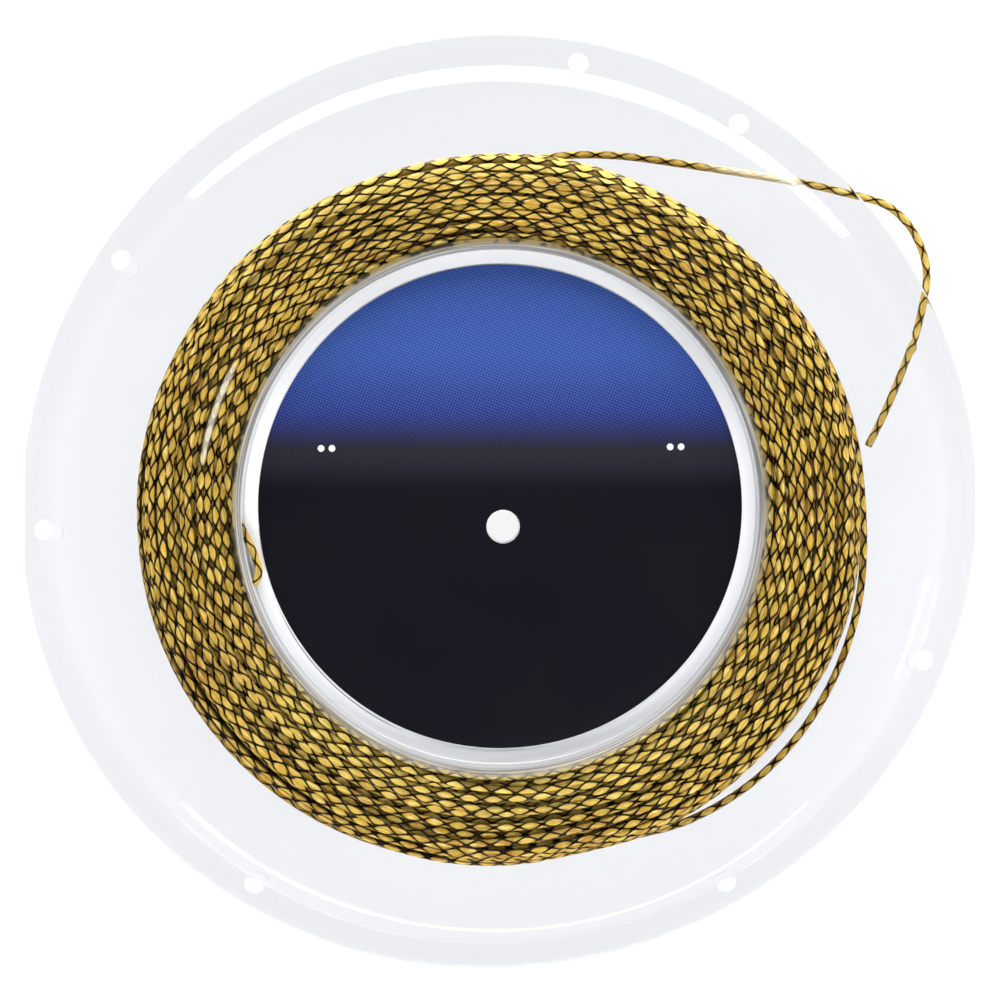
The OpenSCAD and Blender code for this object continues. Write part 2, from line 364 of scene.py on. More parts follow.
def outwards(path):
    """The way out of the winding at each point of a path.

    With q = (radius, height), it runs from the nearest point of the winding's inner box to q.
    """
    q = np.stack([around(path)[0], path[:, 2]], -1)
    way = unit(q - np.clip(q, [DRUM_R, LOW_Z + 1.5], [EDGE_R, EDGE_Z]) + 1e-6)
    return unit(path * (1 - UP)) * way[:, :1] + UP * way[:, 1:]


def painted_glint_stretch(path):
    """1 on the one short stretch of a front turn that gets a painted glint, at radius 48.6 mm, else 0."""
    far, at = around(path)
    return ease((at - 149) / 7) * ease((174 - at) / 6) * hump(far, 48.6, 0.4, 4) * (path[:, 2] > FACE_Z - 1)


def string_piece(name, path, sides, twist_seed, packed=False):
    """A stretch of string, with a slow twist of its tracers: a sum of three waves along it.

    Its attribute openness is 1 where it faces out of the winding or lies free, and falls with the
    cosine of the angle between its own normal and the way out, to 0 where turns touch. The string's
    finish paints shade between the turns by it, and a painted glint where its attribute bare is 1.
    """
    along = travel(path)
    phase = np.random.default_rng(twist_seed).uniform(0, TURN, 3)
    waves = ((0.085, 61, phase[0]), (0.05, 23, phase[1]), (0.10, 409, phase[2]))
    twist = 0.25 + sum(height * np.sin(along / length + start) for height, length, start in waves)
    radius = in_mm(bpy.context.scene.reel_string.diameter) / 2
    points, faces, pairs, normals = tube(path, radius, sides, twist)
    piece = new_piece(name, points, faces, "string", pairs)
    openness = np.ones(len(points))
    if packed:
        facing = np.clip((normals * outwards(path)[:, None]).sum(-1), 0, 1)
        loose = ease((around(path)[0] - OUTER_R - 0.4) / 0.8) * ease((5 - path[:, 2]) / 2)
        openness = np.maximum(facing, loose[:, None]).ravel()
    # openness steers the painted shade between the turns, and bare marks the stretch with a painted glint
    for label, values in (("openness", openness), ("bare", np.repeat(painted_glint_stretch(path), sides))):
        attribute = piece.data.attributes.new(label, "FLOAT", "POINT")
        attribute.data.foreach_set("value", values.astype(np.float32))
    smooth_faces(piece, 60)
    piece.data.materials.append(string_finish(lone=not packed))
    return piece


# ---------------------------------------------------------------- material helpers


def rgba(colour):
    """A colour with an alpha of 1."""
    return (*tuple(colour)[:3], 1.0)


def put(tree, kind, inputs=None, **settings):
    """Adds a node, with its settings and its inputs, each a value or the socket that feeds it."""
    node = tree.nodes.new(kind)
    for name, value in settings.items():
        setattr(node, name, value)
    for name, value in (inputs or {}).items():
        socket = node.inputs[name]
        if isinstance(value, bpy.types.NodeSocket):
            tree.links.new(value, socket)
        else:
            socket.default_value = rgba(value) if socket.type == "RGBA" else value
    return node


def maths(tree, operation, first, second=0.0):
    """The output of a Math node."""
    return put(tree, "ShaderNodeMath", {0: first, 1: second}, operation=operation).outputs[0]


def times(tree, first, second):
    """The product of two values."""
    return maths(tree, "MULTIPLY", first, second)


def off(tree, value, middle):
    """How far a value lies from its middle, on either side."""
    return maths(tree, "ABSOLUTE", maths(tree, "SUBTRACT", value, middle))


def layered(tree, colour, *coats):
    """A colour with others laid over it in order, each given as (share, colour)."""
    for share, coat in coats:
        node = put(tree, "ShaderNodeMix", {0: share}, data_type="RGBA", clamp_factor=True)
        for socket, value in ((node.inputs[6], colour), (node.inputs[7], coat)):
            if isinstance(value, bpy.types.NodeSocket):
                tree.links.new(value, socket)
            else:
                socket.default_value = rgba(value)
        colour = node.outputs[2]
    return colour


def span(tree, value, low, high, to_low=0.0, to_high=1.0, smooth=False):
    """The output of a Map Range node that clamps."""
    return put(tree, "ShaderNodeMapRange",
               {"Value": value, "From Min": low, "From Max": high, "To Min": to_low, "To Max": to_high},
               interpolation_type="SMOOTHSTEP" if smooth else "LINEAR").outputs["Result"]


def reach(tree, place, low, high, *to, **kind):
    """span over a place, between two places in millimetres."""
    return span(tree, place, low * MM, high * MM, *to, **kind)


def noise(tree, vector, scale, detail=2.0, roughness=0.5):
    """The value of a Noise Texture node."""
    return put(tree, "ShaderNodeTexNoise", {"Vector": vector, "Scale": scale, "Detail": detail,
                                            "Roughness": roughness}).outputs["Fac"]


def axes(tree, vector):
    """The x, y and z of a vector."""
    return put(tree, "ShaderNodeSeparateXYZ", {0: vector}).outputs


def joined(tree, x, y, z=0.0):
    """The vector of an x, y and z."""
    return put(tree, "ShaderNodeCombineXYZ", {0: x, 1: y, 2: z}).outputs[0]


def from_axis(tree, vector, shift=0.0):
    """The distance from the reel's axis, or from a line that lies lower by a shift."""
    moved = put(tree, "ShaderNodeVectorMath", {0: vector, 1: (1.0, 1.0, 0.0), 2: (0.0, shift, 0.0)},
                operation="MULTIPLY_ADD")
    return put(tree, "ShaderNodeVectorMath", {0: moved.outputs[0]}, operation="LENGTH").outputs["Value"]


def bumped(tree, strength, distance, height):
    """The normal that a Bump node puts out."""
    bump = put(tree, "ShaderNodeBump", {"Strength": strength, "Distance": distance, "Height": height})
    return bump.outputs["Normal"]


def object_place(tree):
    """The place on the object."""
    return put(tree, "ShaderNodeTexCoord").outputs["Object"]


def new_group(name, inputs, outputs):
    """A shader node group with named inputs and value outputs, and its two end nodes.

    An input whose value is None takes a vector.
    """
    group = bpy.data.node_groups.new(name, "ShaderNodeTree")
    for label, value in inputs.items():
        kind = "NodeSocketVector" if value is None else "NodeSocketFloat"
        socket = group.interface.new_socket(name=label, in_out="INPUT", socket_type=kind)
        if value is not None:
            socket.default_value = value
    for label in outputs:
        group.interface.new_socket(name=label, in_out="OUTPUT", socket_type="NodeSocketFloat")
    return group, group.nodes.new("NodeGroupInput").outputs, group.nodes.new("NodeGroupOutput").inputs


def fine_wear():
    """Group: faint smudges and hairline scratches, as a level from 0 to a little over 1 and a height."""
    name = "fine wear"
    if name in bpy.data.node_groups:
        return bpy.data.node_groups[name]
    group, given, result = new_group(name, {"Vector": None, "Smudge size": 40.0, "Scratches": 0.3},
                                     ("Smudge", "Height"))
    turned = put(group, "ShaderNodeMapping", {"Vector": given["Vector"], "Rotation": (0.0, 0.0, 0.6),
                                              "Scale": (40.0, 900.0, 40.0)})
    hairs = span(group, noise(group, turned.outputs[0], 1.0), 0.66, 0.72)
    cut = times(group, hairs, given["Scratches"])
    level = span(group, noise(group, given["Vector"], given["Smudge size"], 4.0, 0.6), 0.3, 0.7)
    group.links.new(maths(group, "ADD", level, cut), result["Smudge"])
    group.links.new(maths(group, "SUBTRACT", times(group, level, 0.2), cut), result["Height"])
    return group


def tracers():
    """Group: four dark tracers, two of which wind round the string each way.

    With u the part of a turn round the string and v the turns along it, a tracer lies where
    2u + 2v or 2u - 2v is a whole number. With d and e the distances from a whole number, the two are
    joined as d e / (d + e), which thickens the knots and rounds what lies between. Dark is 1 on the
    tracers, and Height swells between them.
    """
    name = "counter-wound tracers"
    if name in bpy.data.node_groups:
        return bpy.data.node_groups[name]
    group, given, result = new_group(name, {"UV": None, "Pitch": 7.8, "Width": 0.1}, ("Dark", "Height"))
    turn, along, _ = axes(group, given["UV"])
    u, v = times(group, turn, 2.0), times(group, maths(group, "DIVIDE", along, given["Pitch"]), 2.0)
    parts = (maths(group, "FRACT", maths(group, way, u, v)) for way in ("ADD", "SUBTRACT"))
    one, other = (maths(group, "SUBTRACT", 0.5, off(group, part, 0.5)) for part in parts)
    both = maths(group, "MAXIMUM", maths(group, "ADD", one, other), 0.001)
    near = maths(group, "DIVIDE", times(group, one, other), both)
    half = times(group, given["Width"], 0.5)
    edge = times(group, half, 0.65)
    group.links.new(span(group, near, edge, times(group, half, 1.25), 1.0, 0.0, smooth=True), result["Dark"])
    group.links.new(span(group, near, edge, 0.18, smooth=True), result["Height"])
    return group


def hub_foot():
    """Group: 1 on the thin painted shade line at the foot of the hub's wall, and the radius that it is drawn
    at.

    The line looks a little lower than the hub, so its middle is at y = -0.35 mm.
    """
    name = "hub foot"
    if name in bpy.data.node_groups:
        return bpy.data.node_groups[name]
    group, given, result = new_group(name, {"Vector": None}, ("Line", "Radius"))
    radius = from_axis(group, given["Vector"], 0.35 * MM)
    line = reach(group, off(group, radius, FOOT_AT * MM), 0.08, 0.24, 1.0, 0.0, smooth=True)
    group.links.new(line, result["Line"])
    group.links.new(radius, result["Radius"])
    return group


def use_group(tree, group, **inputs):
    """The outputs of a group placed in a tree. An input's name is written with _ for a space."""
    given = {name.replace("_", " "): value for name, value in inputs.items()}
    return put(tree, "ShaderNodeGroup", given, node_tree=group).outputs


def new_material(name):
    """An empty material, its node tree and the socket that takes its surface."""
    material = bpy.data.materials.new(name)
    material.use_nodes = True
    material.node_tree.nodes.clear()
    out = material.node_tree.nodes.new("ShaderNodeOutputMaterial")
    return material, material.node_tree, out.inputs["Surface"]


def dull_surface(tree, out, colour, rough, normal, level, ior=1.5):
    """Ends a material in an opaque surface of that colour, roughness, normal and specular level."""
    skin = put(tree, "ShaderNodeBsdfPrincipled", {
        "Base Color": colour, "Roughness": rough, "Normal": normal, "Specular IOR Level": level, "IOR": ior})
    tree.links.new(skin.outputs[0], out)


# ---------------------------------------------------------------- materials


def string_finish(lone=False):
    """Amber filaments under a glossy resin, with two counter-wound dark tracers.

    A lone string is painted lighter, as painted light for the open light round it. Wound string gets
    painted shade between its turns and beside its tracers, painted light outside at the top and inside
    at the bottom, painted hazy light beside the hub and a painted glint on one stretch.
    """
    name = "amber string, lone" if lone else "amber string"
    if name in bpy.data.materials:
        return bpy.data.materials[name]
    look = bpy.context.scene.reel_string
    # A lone string is painted lighter: painted light, for the open light round it
    painted_paleness = 0.2 if lone else 0.0
    amber, brown = (tuple((1 - painted_paleness) * c + painted_paleness * d for c, d in zip(given, look.pale))
                    for given in (look.amber, look.brown))
    material, tree, out = new_material(name)
    where = object_place(tree)
    x, y, z = axes(tree, where)
    far = from_axis(tree, where)
    uv = put(tree, "ShaderNodeUVMap", uv_map="along").outputs["UV"]
    turn, along, _ = axes(tree, uv)
    dark, height = use_group(tree, tracers(), UV=uv, Pitch=in_mm(look.tracer_pitch),
                             Width=0.10 if lone else 0.13)
    wear = use_group(tree, fine_wear(), Vector=where, Smudge_size=60.0, Scratches=0.1)
    filament = noise(tree, joined(tree, times(tree, turn, 11.0), times(tree, along, 0.35)), 1.0)
    openness, bare = (put(tree, "ShaderNodeAttribute", attribute_name=label).outputs["Fac"]
                      for label in ("openness", "bare"))

    # Painted light on the wound string, outside at the top and inside at the bottom, standing in for light
    # that the plastic over it throws on it; painted shade is lessened there
    above = times(tree, reach(tree, y, 30, 50), reach(tree, far, 52.5, 55, 0.0, 0.5, smooth=True))
    below = times(tree, reach(tree, y, -35, -15, 1.0, 0.0), reach(tree, far, 47, 53, 0.4, 0.0))
    bright = 0.0 if lone else maths(tree, "ADD", above, below)
    shaded = maths(tree, "SUBTRACT", 1.0, bright)

    # A painted glint on one stretch (attribute bare): pale cream where it faces out, with the tracers left
    # faint in it as cracks
    facing = span(tree, openness, 0.3, 0.95, 0.2, 1.0)
    painted_glint = times(tree, times(tree, bare, span(tree, filament, 0.36, 0.56, 0.45, 1.0)), facing)
    colour = layered(
        tree, brown,
        (span(tree, noise(tree, where, 210.0, 3.0), 0.34, 0.56), amber),
        (span(tree, filament, 0.48, 0.72), look.pale),
        # painted light, in pale amber
        (bright, (0.71, 0.53, 0.13)),
        # painted shade beside the tracers, then between the turns, less where painted light lies
        (times(tree, span(tree, height, 0.0, 0.45, 0.7, 0.0), shaded), look.margin),
        (times(tree, span(tree, openness, 0.15, 0.62, 0.97, 0.0), shaded), look.margin),
        (dark, look.tracer),
        # the painted glint, and the tracers faint within it
        (span(tree, painted_glint, 0.25, 0.6, 0.0, 0.92), (0.56, 0.51, 0.39)),
        (times(tree, times(tree, bare, dark), 0.5), (0.12, 0.11, 0.08)),
    )
    if lone:
        # Painted light: a pale cream pool of light on the free end at the upper right, for light that the
        # curved rim throws on it
        painted_light_pool = times(tree, reach(tree, x, 33, 38), reach(tree, x, 47, 50, 1.0, 0.0))
        painted_light_pool = times(tree, painted_light_pool, reach(tree, y, 40, 43, 0.0, 0.6))
        colour = layered(tree, colour, (painted_light_pool, (0.85, 0.78, 0.55)))
    else:
        _, hub_radius = use_group(tree, hub_foot(), Vector=where)
        # Painted hazy light from the plastic on the first turns beside the hub, fainter at the top
        painted_haze = times(tree, reach(tree, z, 24, 28), reach(tree, y, -12, 20, 1.0, 0.2))
        painted_haze = times(tree, reach(tree, hub_radius, 42.9, 44.0, 0.8, 0.0, smooth=True), painted_haze)
        colour = layered(tree, colour, (painted_haze, (0.68, 0.63, 0.50)))
    swell = maths(tree, "ADD", height, times(tree, filament, 0.12))
    dull_surface(tree, out, colour, span(tree, wear["Smudge"], 0.0, 1.3, 0.24, 0.36),
                 bumped(tree, 0.8, 0.3 * MM, swell), 0.1, ior=1.45)
    return material


def plastic_finish(front):
    """Clear, faintly cool plastic with smudges and hairline scratches. Lamps shine through it."""
    name = "clear plastic, front" if front else "clear plastic, rear"
    if name in bpy.data.materials:
        return bpy.data.materials[name]
    look = bpy.context.scene.reel_body
    tint = look.plastic if front else look.rear_plastic
    material, tree, out = new_material(name)
    smudge, height = use_group(tree, fine_wear(), Vector=object_place(tree), Smudge_size=22.0, Scratches=0.4)
    glass = put(tree, "ShaderNodeBsdfPrincipled", {
        "Base Color": tint, "Roughness": span(tree, smudge, 0.0, 1.5, look.gloss * 0.7, look.gloss * 1.5),
        "IOR": 1.02, "Transmission Weight": 1.0, "Coat Weight": 0.5 if front else 0.05,
        "Coat Roughness": 0.04, "Coat IOR": 1.5, "Normal": bumped(tree, 0.02, 0.05 * MM, height),
    })
    through = put(tree, "ShaderNodeBsdfTransparent", {"Color": tint})
    shadow = put(tree, "ShaderNodeLightPath").outputs["Is Shadow Ray"]
    mixed = put(tree, "ShaderNodeMixShader", {0: shadow, 1: glass.outputs[0], 2: through.outputs[0]})
    tree.links.new(mixed.outputs[0], out)
    return material


def milky_finish():
    """The same plastic at the hub: a milky disc with painted shade and shade lines, painted shade in fine
    uneven rings up the wall, and the shaded amber string painted at the mouth.
    """
    name = "milky plastic"
    if name in bpy.data.materials:
        return bpy.data.materials[name]
    milk = bpy.context.scene.reel_body.milk
    material, tree, out = new_material(name)
    where = object_place(tree)
    x, y, z = axes(tree, where)
    smudge, height = use_group(tree, fine_wear(), Vector=where, Smudge_size=30.0, Scratches=0.4)
    line, radius = use_group(tree, hub_foot(), Vector=where)

    # Painted shade: the front disc is painted darker towards the bottom, and darkest at the lip where its
    # wall begins
    low = times(tree, reach(tree, y, -41, 41, 1.0, 0.0), reach(tree, z, 15, 17))
    lip = times(tree, low, reach(tree, radius, LIP_AT, LIP_AT + 0.12, 0.0, 0.95, smooth=True))
    # A thin painted shadow line beside the label, at the lower left
    painted_label_shadow = reach(tree, off(tree, radius, LABEL_SHADOW_AT * MM), 0.04, 0.12, 0.8, 0.0)
    lower_left = reach(tree, maths(tree, "ADD", x, y), -54, -52, 1.0, 0.0)

    ringed = joined(tree, times(tree, radius, 3800.0), times(tree, x, 55.0), times(tree, y, 55.0))
    rings = span(tree, noise(tree, ringed, 1.0, 1.0), 0.38, 0.60)
    painted_string_blots = span(tree, noise(tree, where, 420.0, 1.0), 0.40, 0.52)
    colour = layered(
        tree, [c * 0.94 for c in milk],
        (span(tree, noise(tree, where, 45.0), 0.3, 0.7), milk),
        # painted shade, darker towards the bottom, less beside the label
        (times(tree, low, reach(tree, radius, 39.0, 40.4, 0.2, 1.0)), [c * 0.79 for c in milk]),
        # painted shade at the lip
        (lip, (0.225, 0.226, 0.23)),
        # painted shadow line beside the label
        (times(tree, painted_label_shadow, lower_left), (0.03, 0.03, 0.03)),
        # painted shade up the wall, in fine uneven rings
        (reach(tree, radius, FOOT_AT, FOOT_AT + 0.15),
         layered(tree, (0.18, 0.17, 0.15), (rings, (0.42, 0.405, 0.37)))),
        # the shaded amber string painted at the mouth, as seen through the plastic
        (reach(tree, radius, MOUTH_AT, MOUTH_AT + 0.55, smooth=True),
         layered(tree, (0.04, 0.035, 0.02), (painted_string_blots, (0.27, 0.20, 0.085)))),
        # painted shade line at the wall's foot, stronger towards the top
        (times(tree, line, reach(tree, y, -25, 10, 0.5, 0.9)), (0.15, 0.15, 0.15)),
    )
    dull_surface(tree, out, colour, span(tree, smudge, 0.0, 1.5, 0.14, 0.3),
                 bumped(tree, 0.06, 0.05 * MM, height), 0.12)
    return material


def print_finish():
    """Printed face of the label: blue fading to night blue in fine dots, four white dots, a pale edge."""
    name = "label print"
    if name in bpy.data.materials:
        return bpy.data.materials[name]
    look = bpy.context.scene.reel_label
    material, tree, out = new_material(name)
    where = object_place(tree)
    x, y, _ = axes(tree, where)
    smudge, height = use_group(tree, fine_wear(), Vector=where, Smudge_size=30.0, Scratches=0.15)

    def screen(pitch, turn):
        """Round dots on a square grid: cos x + cos y, from -2 to 2."""
        turned = put(tree, "ShaderNodeMapping", {"Vector": where, "Rotation": (0.0, 0.0, turn)})
        across, up, _ = axes(tree, turned.outputs[0])
        return maths(tree, "ADD", *(maths(tree, "COSINE", times(tree, side, TURN / (pitch * MM)))
                                    for side in (across, up)))

    def tint(colour, factor, lift=0.0):
        return [min(1.0, c * factor + lift) for c in colour]

    coarse, fine = screen(0.46, 0.35), screen(0.40, 0.785)
    deep = [c * f for c, f in zip(look.blue, (0.44, 0.21, 0.42))]
    blue = layered(
        tree, deep,
        (reach(tree, y, 12.5, 26.5, smooth=True), look.blue),
        (reach(tree, y, 32.5, 38.5, 0.0, 0.12), deep),
        (span(tree, coarse, -0.6, 1.6, 0.55, 0.0), tint(look.blue, 0.35)),
        (span(tree, coarse, 0.5, 1.8, 0.0, 0.60), tint(look.blue, 1.5, 0.04)),
    )
    night = layered(tree, look.night, (span(tree, fine, 0.9, 1.9, 0.0, 0.5), tint(look.night, 2.6, 0.006)))
    dusk = layered(tree, tint(look.night, 1.9, 0.002),
                   (span(tree, fine, 0.2, 1.6, 0.25, 1.0), tint(look.night, 3.8, 0.013)))

    # Two white dots at each side of the middle, on a line that climbs a little to the right
    dot_x, dot_y, dot_gap, climb = 28.26 * MM, 9.48 * MM, 0.88 * MM, 0.0045
    across = maths(tree, "SUBTRACT", off(tree, off(tree, x, 0.17 * MM), dot_x), dot_gap)
    rise = maths(tree, "SUBTRACT", y, maths(tree, "ADD", times(tree, x, climb), dot_y))
    dots = reach(tree, from_axis(tree, joined(tree, across, rise)), 0.49, 0.58, 1.0, 0.0)
    rim = in_mm(look.radius)
    colour = layered(
        tree, night,
        (reach(tree, y, 2.0, 8.8, smooth=True), dusk),
        (reach(tree, y, 8.5, 16.5, smooth=True), blue),
        (reach(tree, from_axis(tree, where), rim - 0.06, rim - 0.02), (0.80, 0.80, 0.82)),
        (dots, (0.78, 0.79, 0.83)),
    )
    dull_surface(tree, out, colour, span(tree, smudge, 0.0, 1.3, 0.34, 0.5),
                 bumped(tree, 0.1, 0.04 * MM, height), 0.15)
    return material


def paper_finish():
    """Bare white back and edge of the label."""
    name = "bare paper"
    if name in bpy.data.materials:
        return bpy.data.materials[name]
    material, tree, out = new_material(name)
    where = object_place(tree)
    fibre = noise(tree, where, 900.0, 5.0)
    wear = use_group(tree, fine_wear(), Vector=where, Smudge_size=25.0, Scratches=0.0)
    colour = layered(tree, (0.70, 0.70, 0.69), (fibre, (0.82, 0.82, 0.81)),
                     (span(tree, wear["Smudge"], 0.0, 1.0, 0.0, 0.25), (0.72, 0.71, 0.68)))
    dull_surface(tree, out, colour, 0.8, bumped(tree, 0.2, 0.04 * MM, fibre), 0.5)
    return material


def floor_finish():
    """White floor that shows a soft shadow and stays white in what it is mirrored by or seen through."""
    material, tree, out = new_material("white floor")
    path = put(tree, "ShaderNodeLightPath").outputs
    seen = maths(tree, "MAXIMUM", path["Is Camera Ray"], path["Is Glossy Ray"])
    seen = maths(tree, "MAXIMUM", seen, path["Is Transmission Ray"])
    lit = put(tree, "ShaderNodeBsdfDiffuse", {"Color": (0.8, 0.8, 0.8)})
    white = put(tree, "ShaderNodeEmission", {"Color": (1.0, 1.0, 1.0), "Strength": 1.0})
    shaded = put(tree, "ShaderNodeBsdfDiffuse", {"Color": (0.95, 0.95, 0.95)})
    shown = put(tree, "ShaderNodeMixShader", {0: 0.09, 1: white.outputs[0], 2: shaded.outputs[0]})
    mixed = put(tree, "ShaderNodeMixShader", {0: seen, 1: lit.outputs[0], 2: shown.outputs[0]})
    tree.links.new(mixed.outputs[0], out)
    return material


# ---------------------------------------------------------------- the string's routes


def winding_start():
    """Where the laced start meets the first turn, and the level direction in which the string runs."""
    first_r = (DRUM_R + 0.2 + STRING_R) / math.cos(math.pi / 24)
    return on_circle(first_r, START_ANGLE, FACE_Z), clockwise(START_ANGLE)


def section(m, first_r):
    """Place on the winding's section at distance m from the drum, and the way out of it there.

    It runs out along the front face at height FACE_Z, round the front edge on an arc of radius
    WOUND_ROUND, and down the outside at radius OUTER_R.
    """
    face = EDGE_R - first_r
    arc = WOUND_ROUND * math.pi / 2
    a = np.clip((m - face) / WOUND_ROUND, 0, math.pi / 2)
    r = np.where(m < face, first_r + m, EDGE_R + WOUND_ROUND * np.sin(a))
    z = np.where(m > face + arc, EDGE_Z - (m - face - arc), EDGE_Z + WOUND_ROUND * np.cos(a))
    return r, np.maximum(z, LOW_Z), np.sin(a), np.cos(a)


def crossings(turns, count, seed, first=0.5, last=0.6):
    """Stretches in which a turn and the next one change places: start, end and which goes over.

    Each is drawn until it meets no stretch already kept, on its own turn or on either side.
    """
    draw = np.random.default_rng(seed)
    kept = np.zeros((0, 3))
    for _ in range(count * 12):
        if len(kept) == count:
            break
        start = draw.uniform(first, turns - 1 - last)
        end = start + draw.uniform(0.10, 0.42)
        over = draw.choice([-1.0, 1.0])
        if end > turns - 1 - last:
            continue
        shift = np.arange(-2, 3)[:, None]
        clear = (kept[:, 0] + shift > end + 0.09) | (kept[:, 1] + shift < start - 0.09)
        if clear.all():
            kept = np.vstack([kept, [start, end, over]])
    return kept


def change_places(t, events, ramp=0.05):
    """Sideways steps, in turns of pitch, and lifts along the string, from its crossings.

    In an event from a to b the turn at t steps out by 1 and the turn at t + 1 steps in by 1, each
    on a smooth ramp, and at both ramps one lifts and the other dips by exp(-(d / ramp)^2).
    """
    a, b, over = (events[:, k][None] for k in range(3))
    step, lift = np.zeros_like(t), np.zeros_like(t)
    for sign, shift in ((1.0, 0.0), (-1.0, 1.0)):
        d = t[:, None] - shift
        step += sign * (ease((d - a) / (2 * ramp) + 0.5) - ease((d - b) / (2 * ramp) + 0.5)).sum(1)
        lift += (sign * over * (hump(d, a, ramp) + hump(d, b, ramp))).sum(1)
    return step, lift


def lopsided(degrees):
    """How far the winding's outside strays from round, in millimetres, by direction."""
    a = np.radians(degrees)
    bulge = sum(height * hump((degrees - at + 180) % 360, 180, width) for at, width, height in BULGES)
    return -0.10 - 0.20 * np.cos(a) - 0.46 * np.sin(a) + 0.38 * np.cos(2 * a) + bulge


def drawn_in(degrees, z):
    """How far the slack turn draws in the turns beside it, in millimetres, by direction and height."""
    return -1.5 * hump(degrees % 360, 284, 16.0) * ease((24 - z) / 6)


def turns_path(turns, per_turn=110):
    """The string from the laced start over the front and down the outside, to the tail's lead.

    The turn at t lies at direction START_ANGLE - 360 t and at distance L t / turns along the
    section, plus its sideways steps, a slow wander, and its lifts square to the section. The first
    turns hug the hub instead: each keeps its distance and steps out by SNUG near its end.
    """
    start, ahead = winding_start()
    first_r = float(np.hypot(*start[:2]))
    pitch = (EDGE_R - first_r + WOUND_ROUND * math.pi / 2 + EDGE_Z - LOW_Z) / turns
    t = np.linspace(0, turns, int(turns * per_turn) + 1)
    degrees = START_ANGLE - 360 * t
    a = np.radians(degrees)
    step, lift = change_places(t, crossings(turns, 64, seed=11))
    free = ease((t - 0.05) / 0.6) * ease((turns - 0.1 - t) / 0.6)
    p = np.random.default_rng(5).uniform(0, TURN, 5)
    together = 0.40 * np.sin(3 * a + p[0] + 0.9 * t) + 0.26 * np.sin(5 * a + p[1] - 1.7 * t)
    alone = 0.13 * np.sin(TURN * t * 3.3 + p[2]) + 0.10 * np.sin(TURN * t * 7.7 + p[3])
    hug = 1 - ease((t - 4) / 5)
    stepped = np.floor(t) + ease((t % 1 - 0.84) / 0.16)
    wander = (together + alone) * (1 - 0.85 * hug - 0.65 * ease((t - 9) / 3))
    near, spread = SNUG * hug, pitch * (1 - hug)
    m = near * stepped + spread * t + free * (step * (near + spread) + wander)
    r, z, sine, cosine = section(np.clip(m, 0, None), first_r)
    sink = free * (0.24 - 0.34 * lift - 0.10 * np.sin(TURN * t * 1.7 + p[4]))
    r, z = r - sink * sine - 0.55 * ease(t / 0.15) * hug, z - sink * cosine
    uneven_here = np.maximum(ease((z - 3) / 6), hump(degrees % 360, 92, 33.0, 4))
    r = r + free * lopsided(degrees) * ease((r - 47) / 9) * uneven_here + drawn_in(degrees, z)

    # The last turn leaves the winding at SLACK_ANGLE and runs on at the rear flange to END_ANGLE
    leave = ease((t - turns + 0.30) / 0.22)
    r = r * (1 - leave) + last_turn(np.minimum(SLACK_ANGLE - 360 * (t - turns), 458)) * leave
    at = np.linspace(SLACK_ANGLE, END_ANGLE, 180)[1:]
    end = on_circle(LAST_R, END_ANGLE, LOW_Z) + STRING_D * clockwise(END_ANGLE)
    path = [start - STRING_D * ahead, on_circle(r, degrees, z), on_circle(last_turn(at), at, LOW_Z), end]
    return np.vstack(path), end


def last_turn(degrees):
    """Radius of the slack last turn by direction, on a smooth curve through its route.

    It leaves the winding at the right, hangs out at the lower right, is drawn in again below and
    ends at LAST_R, where the free end begins.
    """
    guide = halved(SLACK_ROUTE, 3)
    return np.interp(degrees, guide[:, 0], guide[:, 1])


def under_path(turns=11.4, per_turn=90):
    """The layer that shows between the front turns: a spiral that runs the other way, a step below.

    At the front edge it follows an arc, as the turns over it do.
    """
    first_r, last_r, under = 43.9, OUTER_R - 1.35, 1.2
    t = np.linspace(0, turns, int(turns * per_turn))
    degrees = 360 * t
    r = first_r + (last_r - first_r) * t / turns + 0.12 * np.sin(2 * TURN * t + 1.0)
    past = np.maximum(r - EDGE_R, 0)
    z = EDGE_Z + np.sqrt(np.maximum((WOUND_ROUND - under) ** 2 - past ** 2, 0.1)) + 0.08 * np.sin(5.3 * t)
    return on_circle(r + lopsided(degrees) * ease((r - 47) / 9), degrees, z)


def inner_path(per_turn=90):
    """The layer against the drum and the rear face: down the drum, then out along the rear flange."""
    drum_turns, face_turns, top_z, rear_z = 20, 10.5, 28.4, LOW_Z + 0.1
    first_r, last_r = DRUM_R + 0.25 + STRING_R, OUTER_R - 1.4
    down = np.linspace(0, drum_turns, drum_turns * per_turn)
    z = top_z - (top_z - rear_z) * down / drum_turns + 0.12 * np.sin(7.1 * down)
    drum = on_circle(first_r + 0.08 * np.sin(3.7 * down), 360 * down, z)
    out = np.linspace(0, face_turns, int(face_turns * per_turn))[1:]
    step, lift = change_places(out, crossings(face_turns, 16, seed=23, first=0.3, last=0.3))
    free = ease(out / 0.5)
    pitch = (last_r - first_r) / face_turns
    r = first_r + pitch * (out + free * step) + free * 0.2 * np.sin(TURN * out * 3.1)
    return np.vstack([drum, on_circle(r, 360 * out, rear_z + free * (0.22 - 0.30 * lift))])


# ---------------------------------------------------------------- pieces


